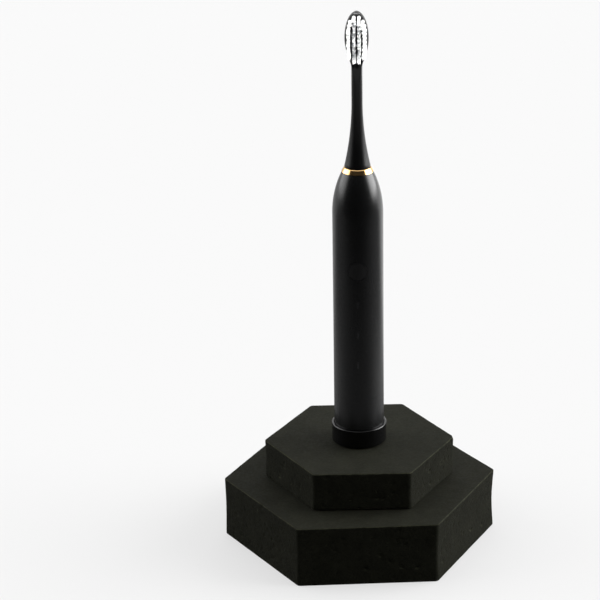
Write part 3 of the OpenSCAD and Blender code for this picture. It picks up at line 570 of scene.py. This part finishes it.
def weather(slab, floor_z, top_z, apothem, tears, bow, seed, turn, nick):
    """Sculpts the cut faces inwards: hollow sides, wavy rims and torn cells. bow is how hollow each of the
    six sides is, in mm, and nick is one crease: its face, place, sizes, depth and lean."""
    dice = random.Random(seed)
    tall = top_z - floor_z
    half_side = (apothem - CORNER_R) * math.tan(math.pi / 6)
    inner = apothem - EDGE_R - 0.1 * MM        # what lies further in than this is top or bottom, not side
    torn = {face: [] for face in range(6)}
    for _ in range(tears):
        wide = dice.choice(TEAR_WIDTHS) * MM * dice.uniform(0.8, 1.2)
        torn[dice.randrange(6)].append((
            dice.uniform(-0.5, 0.5) * apothem, floor_z + tall * dice.uniform(0.03, 0.97), wide,
            wide * dice.uniform(0.45, 1.0), dice.uniform(0.22, 0.5) * min(wide, 1.1 * MM),
            dice.uniform(-0.6, 0.6)))
    if nick:
        torn[nick[0]].append(tuple(nick[1:]))
    for v in slab.data.vertices:
        p = v.co
        angle = math.atan2(p.y, p.x) - turn
        face = int(angle // SIXTH) % 6
        middle = (face + 0.5) * SIXTH + turn
        out = Vector((math.cos(middle), math.sin(middle), 0))
        across = Vector((-math.sin(middle), math.cos(middle), 0))
        along, depth = p.dot(across), p.dot(out)
        u = min(max((p.z - floor_z) / tall, 0), 1)
        dip = 0.16 * MM * (0.5 + 0.5 * noise.noise(Vector((p.x, p.y, seed)) * 55))
        dip += 0.07 * MM * (0.5 + 0.5 * noise.noise(Vector((p.x, p.y, seed)) * 260))
        p.z += -dip * max(0, 2 * u - 1) ** 3 + 0.5 * dip * max(0, 1 - 2 * u) ** 3
        if depth < inner and abs(along) < half_side - 2 * EDGE_R or math.hypot(p.x, p.y) < inner:
            continue
        bend = min(max((abs(along) - half_side) / (CORNER_R * 0.5), 0), 1) * math.copysign(math.pi / 6, along)
        out = Matrix.Rotation(bend, 3, "Z") @ out
        corner = round(angle / SIXTH)
        share = smooth(0.5 + (angle / SIXTH - corner) / 0.24)
        hollow = bow[(corner - 1) % 6] * (1 - share) + bow[corner % 6] * share
        hollow *= MM * math.sin(math.pi * u) ** 1.3
        ripple = 0.16 * MM * (0.5 + 0.5 * noise.noise(Vector((p.x, p.y, p.z * 0.7 + seed)) * 85))
        rag = 0.09 * MM * (0.5 + 0.5 * noise.noise(Vector((p.x, p.y, p.z + seed)) * 620))
        dig = 0.0
        for at, level, wide, high, deep, lean in torn[face]:
            sideways = along - at
            if abs(sideways) < wide:
                upward = p.z - level - lean * sideways
                reach = (sideways / wide) ** 2 + (upward / high) ** 2
                if reach < 1:
                    dig = max(dig, deep * (1 - reach) ** 0.7)
        v.co = p - out * (hollow + ripple + rag + dig)
    slab.data.update()


lower_slab = foam_slab("lower_foam_slab", "lower_tier", 152 * MM, 5, 0.72 * MM, 420,
                       (0.9, 0.35, 0.3, 0.3, 0.35, 0.8), 11,
                       nick=(3, 12 * MM, 6 * MM, 7 * MM, 0.5 * MM, 0.45 * MM, 0.5))
dress(lower_slab, "foam", "plinth", "lower_tier")
upper_slab = foam_slab("upper_foam_slab", "upper_tier", 106 * MM, 3, 0.62 * MM, 240,
                       (0.35, 0.25, 0.3, 0.3, 0.25, 0.35), 23, clipped=(0, 0.55 * MM))
dress(upper_slab, "foam", "plinth", "upper_tier")


# ---------- brush head ----------

FOOT_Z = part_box("head_body")[0][2]
TIP_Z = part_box("head_body")[1][2]
SOCKET_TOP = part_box("head_socket")[1][2] + 0.02 * MM
BORE_R = 2.72 * MM
SKIRT_R = 5.72 * MM        # the wide hollow at the foot
FOOT_R = 7.12 * MM
NECK_R = 2.95 * MM
NECK_LEN = 36 * MM
PLATE_HALF = 6.4 * MM
PLATE_TOP = 14.4 * MM      # from the tip to the widest place
PLATE_LOW = 15.6 * MM      # from there to the plate's lower end
PLATE_LEN = PLATE_TOP + PLATE_LOW
CURVE_TOP, CURVE_LOW = 2.05, 1.75
FRONT_FACE = 2.6 * MM
FRONT_FULL = 5.4 * MM      # how deep the front would be if it weren't cut flat
BACK_FACE = 2.2 * MM
TIP_ROUND = 0.9 * MM
HEAD_SIDES = 64


def plate_half(d):
    """Half width of the bristle plate at distance d below its tip."""
    if d < PLATE_TOP:
        t, curve = (PLATE_TOP - d) / PLATE_TOP, CURVE_TOP
    else:
        t, curve = (d - PLATE_TOP) / PLATE_LOW, CURVE_LOW
    return PLATE_HALF * max(0, 1 - t ** curve) ** (1 / curve) if t < 1 else 0


def head_ring(z):
    """Half width, back depth, front depth and how far forward the front reaches at height z."""
    up, d = z - FOOT_Z, TIP_Z - z
    flare = FOOT_R - NECK_R
    arc = (NECK_LEN ** 2 + flare ** 2) / (2 * flare)
    neck = NECK_R if up > NECK_LEN else NECK_R + arc - math.sqrt(arc ** 2 - (NECK_LEN - up) ** 2)
    t = smooth((PLATE_LEN + 10 * MM - d) / (15 * MM))
    fading = neck * (1 - smooth((PLATE_LEN - 1 * MM - d) / (9 * MM)))
    half = (fading ** 4 + plate_half(d) ** 4) ** 0.25
    back = neck + (BACK_FACE - neck) * t
    front = neck + (FRONT_FULL - neck) * t
    cut = neck + (FRONT_FACE - neck) * t
    if d < TIP_ROUND:
        close = math.sqrt(max(0, 1 - (1 - d / TIP_ROUND) ** 2))
        back *= 0.5 + 0.5 * close
        front *= 0.6 + 0.4 * close
        cut *= 0.7 + 0.3 * close
    return max(half, 0.35 * MM), back, front, cut


def head_levels():
    """Heights of the loops: wide apart on the neck, closer on the plate and closest at the tip."""
    levels = [FOOT_Z + 0.35 * MM]
    while levels[-1] < TIP_Z - 36 * MM:
        levels.append(levels[-1] + 1.6 * MM)
    while levels[-1] < TIP_Z - 9 * MM:
        levels.append(levels[-1] + 0.75 * MM)
    tail = TIP_Z - levels[-1]
    return levels + [TIP_Z - tail * (1 - math.sin(math.radians(90 * k / 22))) for k in range(1, 23)]


def brush_head_shell():
    """One skin: up the bore it slides on by, out over the foot, and along the neck into the bristle plate."""
    bore = [(SOCKET_TOP, BORE_R), (FOOT_Z + 6.5 * MM, BORE_R), (FOOT_Z + 2.5 * MM, SKIRT_R),
            (FOOT_Z + 0.25 * MM, SKIRT_R), (FOOT_Z, 5.95 * MM), (FOOT_Z, FOOT_R - 0.28 * MM),
            (FOOT_Z + 0.09 * MM, FOOT_R - 0.09 * MM)]
    shell = fresh(bpy.ops.mesh.primitive_circle_add, vertices=HEAD_SIDES, radius=BORE_R,
                  location=(0, 0, SOCKET_TOP))
    bpy.ops.mesh.select_mode(type="EDGE")
    bpy.ops.mesh.select_all(action="SELECT")
    for (z, r), (new_z, new_r) in zip(bore, bore[1:]):
        stretch_to((0, 0, new_z - z), (new_r / r, new_r / r, 1), (0, 0, 0))
    z, half = bore[-1]
    depth = half
    levels = head_levels()
    for new_z in levels:
        new_half, new_depth = head_ring(new_z)[:2]
        stretch_to((0, 0, new_z - z), (new_half / half, new_depth / depth, 1), (0, 0, 0))
        z, half, depth = new_z, new_half, new_depth
    bpy.ops.mesh.edge_face_add()
    pick(shell, lambda e: all(abs(v.co.z) < 1e-7 and v.co.xy.length < BORE_R + 1e-5 for v in e.verts), "EDGE")
    bpy.ops.mesh.edge_face_add()
    for z in levels:
        _, back, front, cut = head_ring(z)
        here = z - shell.location.z
        if front > back + 1e-6:
            pick(shell, lambda v: abs(v.co.z - here) < 1e-6 and v.co.y < -1e-6)
            bpy.ops.transform.resize(value=(1, front / back, 1), center_override=(0, 0, 0))
        pick(shell, lambda v: abs(v.co.z - here) < 1e-6 and v.co.y < -cut)
        bpy.ops.transform.resize(value=(1, 0, 1), center_override=(0, -cut, 0))
    bpy.ops.mesh.select_all(action="SELECT")
    bpy.ops.mesh.normals_make_consistent(inside=False)
    return settle(shell, "brush_head_shell", 42)


dress(brush_head_shell(), "head_black", "brush_head", "head_body")


# ---------- bristles ----------

FILAMENT_R = 0.10 * MM
TUFT_R = 0.95 * MM
ROOT_Y = -2.45 * MM        # the roots start just under the plate's face
LEAN = 0.045               # how far the outermost tufts lean out
ROWS = 11
FIRST_ROW, ROW_PITCH = 2.6 * MM, 2.2 * MM
MARGIN_TOP, MARGIN_LOW = 1.45 * MM, 1.25 * MM
END_ROW = 1.35 * MM        # half the spacing of the two tufts in the first and last rows
WIDEST_ROW = 4.4 * MM
CIRCLE = 6.28


def filament(length):
    """One nylon filament standing along -Y from the origin, with an end-rounded tip."""
    piece = fresh(bpy.ops.mesh.primitive_cylinder_add, vertices=5, radius=FILAMENT_R, depth=length,
                  location=(0, -length / 2, 0), rotation=(math.pi / 2, 0, 0))
    leave()
    bpy.ops.object.transform_apply(location=True, rotation=True, scale=True)
    edit(piece)
    pick(piece, lambda f: f.normal.y < -0.9, "FACE")
    tip = (0, -length, 0)
    for out, ring in ((0.05, 0.84), (0.05, 0.55)):
        bpy.ops.mesh.extrude_region_move(TRANSFORM_OT_translate={"value": (0, -out * MM, 0)})
        bpy.ops.transform.resize(value=(ring, 1, ring), center_override=tip)
    leave()
    return piece


def copies(piece, places):
    """Copies of piece at each (place, turn), joined, with the first piece gone."""
    made = []
    for place, turn, scale in places:
        one = bpy.data.objects.new(piece.name, piece.data.copy())
        bpy.context.collection.objects.link(one)
        one.location, one.rotation_euler, one.scale = place, turn, scale
        made.append(one)
    bpy.data.objects.remove(piece)
    bpy.ops.object.select_all(action="DESELECT")
    for one in made:
        one.select_set(True)
    bpy.context.view_layer.objects.active = made[0]
    bpy.ops.object.transform_apply(location=True, rotation=True, scale=True)
    bpy.ops.object.join()
    return made[0]


def tuft(length, splay, uneven, dice):
    """A bundle of filaments packed in a round hole, each a little longer, shorter or splayed."""
    pitch = TUFT_R / 3.35
    places = []
    for row in range(-3, 4):
        for column in range(-3, 4):
            x = (column + row / 2) * pitch
            z = row * pitch * math.sqrt(3) / 2
            if math.hypot(x, z) > 3.05 * pitch:
                continue
            places.append(((x, 0, z), (splay * z / pitch / 2 + dice.gauss(0, 0.007), dice.uniform(0, CIRCLE),
                                       -splay * x / pitch / 2 + dice.gauss(0, 0.007)),
                           (1, 1 - abs(dice.gauss(0, uneven)), 1)))
    return copies(filament(length), places)


def bristle_field(name, slot, node, places, splay, uneven, seed):
    """One tuft, copied to every place, as long as the CAD's tufts are."""
    dice = random.Random(seed)
    bundle = tuft(ROOT_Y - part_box(node)[0][1] - 0.1 * MM, splay, uneven, dice)
    field = copies(bundle, [
        ((x, ROOT_Y, z), (dice.gauss(0, 0.006), dice.uniform(0, CIRCLE), -LEAN * x / WIDEST_ROW),
         (1, 1 - dice.uniform(0, 0.012), 1)) for x, z in places])
    dress(settle(field, name, 60), slot, "brush_head", node)


def seats(columns, rows):
    """Where tufts stand: each column's share of the row's half width, on each row."""
    places = []
    for k in rows:
        d = FIRST_ROW + ROW_PITCH * k
        margin = MARGIN_TOP if d < PLATE_TOP else MARGIN_LOW
        wide = END_ROW if k in (0, ROWS - 1) else min(WIDEST_ROW, plate_half(d) - margin)
        places += [(share * wide, TIP_Z - d) for share in columns]
    return places


bristle_field("outer_bristles", "bristle_white", "outer_tufts",
              seats((-1, 1), range(ROWS)), 0.030, 0.006, 5)
bristle_field("inner_bristles", "bristle_grey", "inner_tufts",
              seats((-1 / 3, 1 / 3), range(1, ROWS - 1)), 0.020, 0.035, 6)


# ---------- studio ----------

RIGHT_BANK, LEFT_BANK, BACK_WALL, CEILING, DIM_ROOM = 11.0, 4.6, 1.0, 1.8, 0.03     # brightness
PALE_WALL = 0.95                               # the walls, as the camera sees them
FLOOR_SIZE = 60
LENS = 144
CAMERA_PLACE = (0.02674, -1.21429, 0.62299)
CAMERA_TURN = (68.297, 0.864, 2.416)           # in degrees
LAMP_PLACE = Vector((0.09, -0.62, 0.66))
LAMP_POWER, LAMP_SIZE, LAMP_CONE = 125, 0.03, 4.6


def floor():
    """Pale paper. As a studio would lay black card in front of the object and white card beside and behind
    it, the paper throws less light back at it in front and more at the sides and back."""
    sheet = fresh(bpy.ops.mesh.primitive_plane_add, size=FLOOR_SIZE, location=(0, 0, 0))
    settle(sheet, "studio_floor")
    paper = Look("studio_paper", specular=0.02)
    seen = paper.seen_directly()
    grain = paper.cloud(0.4, 2, 0.5)
    pale = paper.blend(grain, (0.198, 0.198, 0.198), (0.202, 0.202, 0.202))
    forward, beside = paper.axis("Y"), paper.axis("X").size()
    right = paper.axis("X").clear_of(-0.1, 0.1)
    black_card = paper.blend(forward.clear_of(-0.46, -0.2), (0.012, 0.012, 0.012), (0.11, 0.11, 0.11))
    white_behind = forward.clear_of(0.12, 0.34) * (0.36 + 0.64 * right)
    strip = beside.clear_of(0.08, 0.2) * (1 - beside.clear_of(0.24, 0.36))
    white_beside = strip * forward.clear_of(-0.2, 0.02)
    white = white_behind.most(white_beside * (0.16 + 0.22 * right))
    bounce = paper.blend(white, black_card, (0.80, 0.80, 0.80))
    paper.colour(paper.blend(seen, bounce, pale))
    paper.fix("Emission Color", paper.blend(seen, (0, 0, 0), (0.58, 0.58, 0.58)))
    paper.fix("Emission Strength", 1.0)
    paper.rough(0.9)
    sheet.data.materials.append(paper.material)


def surround():
    """The studio walls: a soft bank of light at each side, a white wall behind and a dim room in front."""
    world = bpy.data.worlds.new("studio")
    bpy.context.scene.world = world
    world.use_nodes = True
    room = Graph(world.node_tree)
    heading = room.node("ShaderNodeTexCoord", {}, {}).outputs["Generated"]

    def bank(toward, start, full):
        """A soft light toward a direction: start and full are cosines of the angle from it."""
        aim = room.number("ShaderNodeVectorMath", {"operation": "DOT_PRODUCT"},
                          {0: heading, 1: Vector(toward).normalized()}, "Value")
        return aim.clear_of(start, full)

    light = (RIGHT_BANK * bank((1, 0.18, 0.36), 0.80, 0.97) + LEFT_BANK * bank((-1, 0.15, 0.36), 0.80, 0.97)
             + BACK_WALL * bank((0, 1, 0), 0.0, 0.6) + CEILING * bank((0, 0.2, 1), 0.5, 0.95) + DIM_ROOM)
    pale = room.seen_directly()
    shade = room.node("ShaderNodeBackground", {}, {"Strength": pale * PALE_WALL + (1 - pale) * light})
    room.node("ShaderNodeOutputWorld", {}, {"Surface": shade.outputs[0]})


def camera():
    lens = bpy.data.cameras.new("camera")
    lens.lens, lens.sensor_width = LENS, 36
    obj = bpy.data.objects.new("camera", lens)
    bpy.context.scene.collection.objects.link(obj)
    obj.location = CAMERA_PLACE
    obj.rotation_euler = tuple(math.radians(a) for a in CAMERA_TURN)
    bpy.context.scene.camera = obj


def head_light(lit):
    """A small lamp that lights only the brush head's own pieces."""
    lamp = bpy.data.lights.new("head_light", "SPOT")
    lamp.energy, lamp.shadow_soft_size = LAMP_POWER, LAMP_SIZE
    lamp.spot_size, lamp.spot_blend = math.radians(LAMP_CONE), 0.8
    obj = bpy.data.objects.new("head_light", lamp)
    bpy.context.scene.collection.objects.link(obj)
    lit_only = bpy.data.collections.new("brush_head_pieces")
    for name in lit:
        lit_only.objects.link(bpy.data.objects[name])
    obj.light_linking.receiver_collection = lit_only
    obj.location = LAMP_PLACE
    bristle_middle = Vector((0, -8 * MM, TIP_Z - 13 * MM))
    obj.rotation_euler = (bristle_middle - LAMP_PLACE).to_track_quat("-Z", "Y").to_euler()


floor()
surround()
camera()
head_light(("outer_bristles", "inner_bristles", "brush_head_shell"))
bpy.context.scene.view_settings.view_transform = "Standard"
